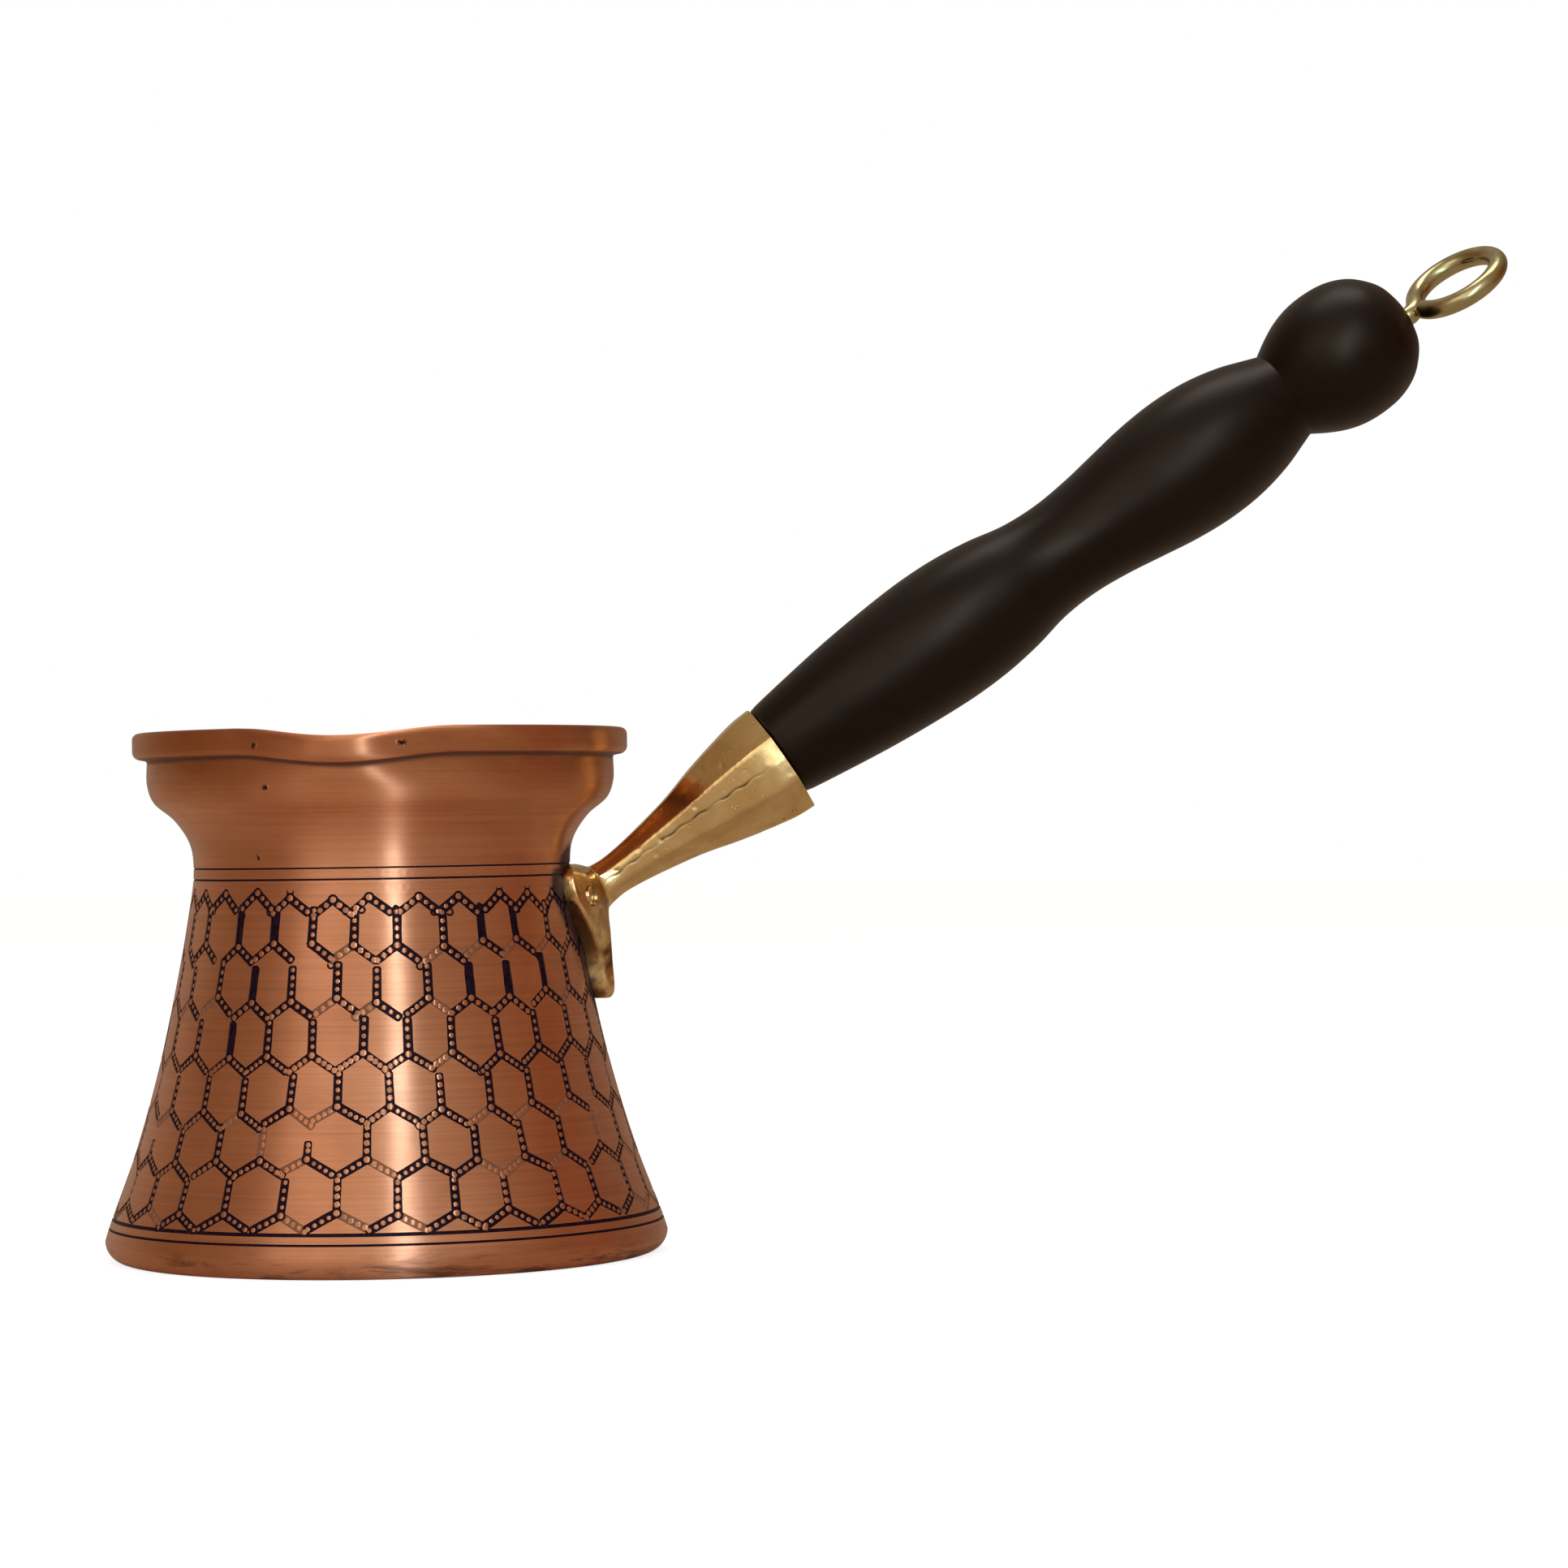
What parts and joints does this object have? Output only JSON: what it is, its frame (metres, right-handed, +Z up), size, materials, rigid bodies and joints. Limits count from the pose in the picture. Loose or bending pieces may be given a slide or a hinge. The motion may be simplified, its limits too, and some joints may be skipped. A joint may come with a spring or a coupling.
{
  "type": "turkish coffee pot",
  "caption": "Waisted copper coffee pot with a pouring lip, a riveted brass bracket and a turned wooden grip held on by a long eye bolt that unscrews.",
  "frame": {"origin": "centre of the pot's flat base, on the surface it stands on", "axes": "+Z up along the pot's axis, +X towards the grip, -Y towards the side the pouring lip is on"},
  "size_m": [0.2202, 0.086, 0.1546],
  "materials": {
    "copper": "brushed copper with dark stamped pattern",
    "tin": "wiped tin, dull",
    "brass": "polished casting",
    "rivet": "peened",
    "dark_wood": "satin varnish, near black",
    "plated_steel": "yellow plated"
  },
  "bodies": {
    "pot": {"pot_body": "copper", "tin_lining": "tin", "bracket": "brass", "rivet_top_front": "rivet", "rivet_top_back": "rivet", "rivet_bottom": "rivet"},
    "grip": {"handle_grip": "dark_wood"},
    "eye_bolt": {"eye_bolt": "plated_steel"}
  },
  "joints": [
    {"name": "grip_release", "type": "slide", "parent": "pot", "child": "grip", "axis": [0.8273, 0, 0.5618], "range_m": [0, 0.012]},
    {"name": "eye_bolt_turn", "type": "hinge", "parent": "grip", "child": "eye_bolt", "pos_m": [0.06164, 0, 0.07526], "axis": [0.8273, 0, 0.5618], "range_deg": [0, 8640]}
  ],
  "couplings": [
    {"joint": "eye_bolt_turn", "follows": "grip_release", "rad_per_m": 12566}
  ]
}
